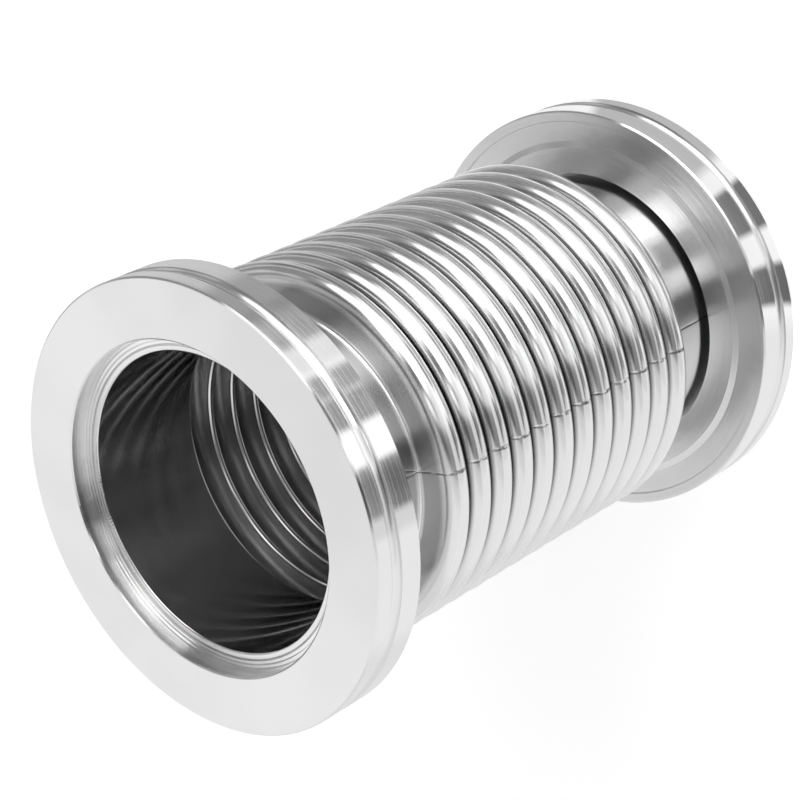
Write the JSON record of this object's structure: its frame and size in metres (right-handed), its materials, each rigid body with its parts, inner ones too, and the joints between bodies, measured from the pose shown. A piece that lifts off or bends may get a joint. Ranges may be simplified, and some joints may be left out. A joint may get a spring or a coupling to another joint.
{
  "type": "vacuum bellows hose",
  "caption": "Stainless vacuum bellows: a thin convoluted tube with straight cuffs, welded at each end into a round clamp flange with a seat for a centring ring.",
  "frame": {"origin": "centre of the lower flange's sealing face, which the part stands on", "axes": "+Z along the hose from the lower flange to the upper one; X and Y are free, the part is round"},
  "size_m": [0.095, 0.095, 0.141],
  "materials": {
    "turned_stainless": "fine turned stainless steel: matt flat faces, polished rims",
    "formed_stainless": "satin hydroformed stainless steel with polished cuffs and one lengthwise seam",
    "weld_stainless": "smooth fused weld ring"
  },
  "bodies": {
    "lower_end": {"lower_flange": "turned_stainless", "lower_weld": "weld_stainless", "bellows": "formed_stainless"},
    "upper_end": {"upper_flange": "turned_stainless", "upper_weld": "weld_stainless"}
  },
  "joints": [
    {"name": "bellows_stroke", "type": "slide", "parent": "lower_end", "child": "upper_end", "axis": [0, 0, 1], "range_m": [-0.008, 0.012], "stiffness_N_per_m": 25000, "deforming": ["bellows"]}
  ]
}
